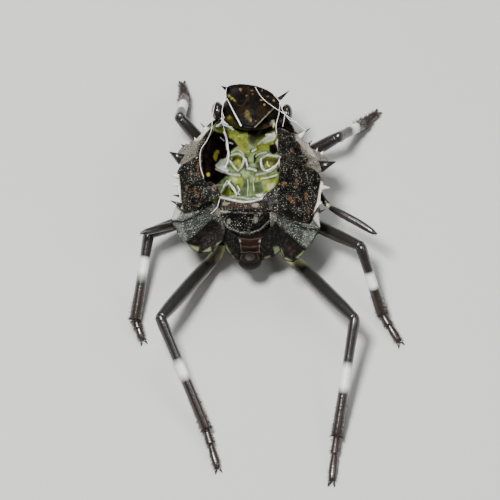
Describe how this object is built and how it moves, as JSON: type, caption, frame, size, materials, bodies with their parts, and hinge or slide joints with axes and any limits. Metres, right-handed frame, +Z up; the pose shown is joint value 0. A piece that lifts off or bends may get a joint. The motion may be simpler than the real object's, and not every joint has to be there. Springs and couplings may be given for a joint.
{
  "type": "shed skin of a brown marmorated stink bug nymph",
  "caption": "Life-size shed skin of a brown marmorated stink bug nymph, split open down the back, standing on its feet.",
  "frame": {"origin": "middle of the footprint, on the floor that the feet stand on", "axes": "+Y towards the head, +X towards the insect's right side, +Z up"},
  "size_m": [0.0105, 0.0171, 0.0043],
  "materials": {
    "black_cuticle": "black granulated insect cuticle with rust-brown spots, satin",
    "grey_cuticle": "grey dusted pleated insect cuticle, satin",
    "leg_cuticle": "glossy black-brown insect cuticle",
    "membrane": "thin yellow-green insect membrane with white ridges",
    "brown_cuticle": "dark brown insect cuticle, satin",
    "eye_shell": "dark glossy empty eye shell",
    "pale_cuticle": "cream insect cuticle of margins, bands and thorns",
    "white_thread": "white glossy linings of the air tubes"
  },
  "bodies": {
    "root": {"thorax_floor": "membrane", "pronotum_left": "black_cuticle", "pronotum_right": "black_cuticle", "mesonotum_left": "black_cuticle", "mesonotum_right": "black_cuticle", "metanotum_band": "black_cuticle", "gland_plate": "black_cuticle", "abdomen_underside": "brown_cuticle", "abdomen_fan_left": "grey_cuticle", "abdomen_fan_right": "grey_cuticle", "tail_plates": "brown_cuticle", "anal_end": "brown_cuticle", "head_crown": "black_cuticle", "head_capsule": "black_cuticle", "eye_left": "eye_shell", "eye_right": "eye_shell", "antenna_left": "leg_cuticle", "antenna_right": "leg_cuticle", "beak": "leg_cuticle", "fore_left_femur": "leg_cuticle", "fore_left_tibia": "leg_cuticle", "fore_left_tarsus": "leg_cuticle", "fore_right_femur": "leg_cuticle", "fore_right_tibia": "leg_cuticle", "fore_right_tarsus": "leg_cuticle", "middle_left_femur": "leg_cuticle", "middle_left_tibia": "leg_cuticle", "middle_left_tarsus": "leg_cuticle", "middle_right_femur": "leg_cuticle", "middle_right_tibia": "leg_cuticle", "middle_right_tarsus": "leg_cuticle", "hind_left_femur": "leg_cuticle", "hind_left_tibia": "leg_cuticle", "hind_left_tarsus": "leg_cuticle", "hind_right_femur": "leg_cuticle", "hind_right_tibia": "leg_cuticle", "hind_right_tarsus": "leg_cuticle"}
  },
  "joints": []
}
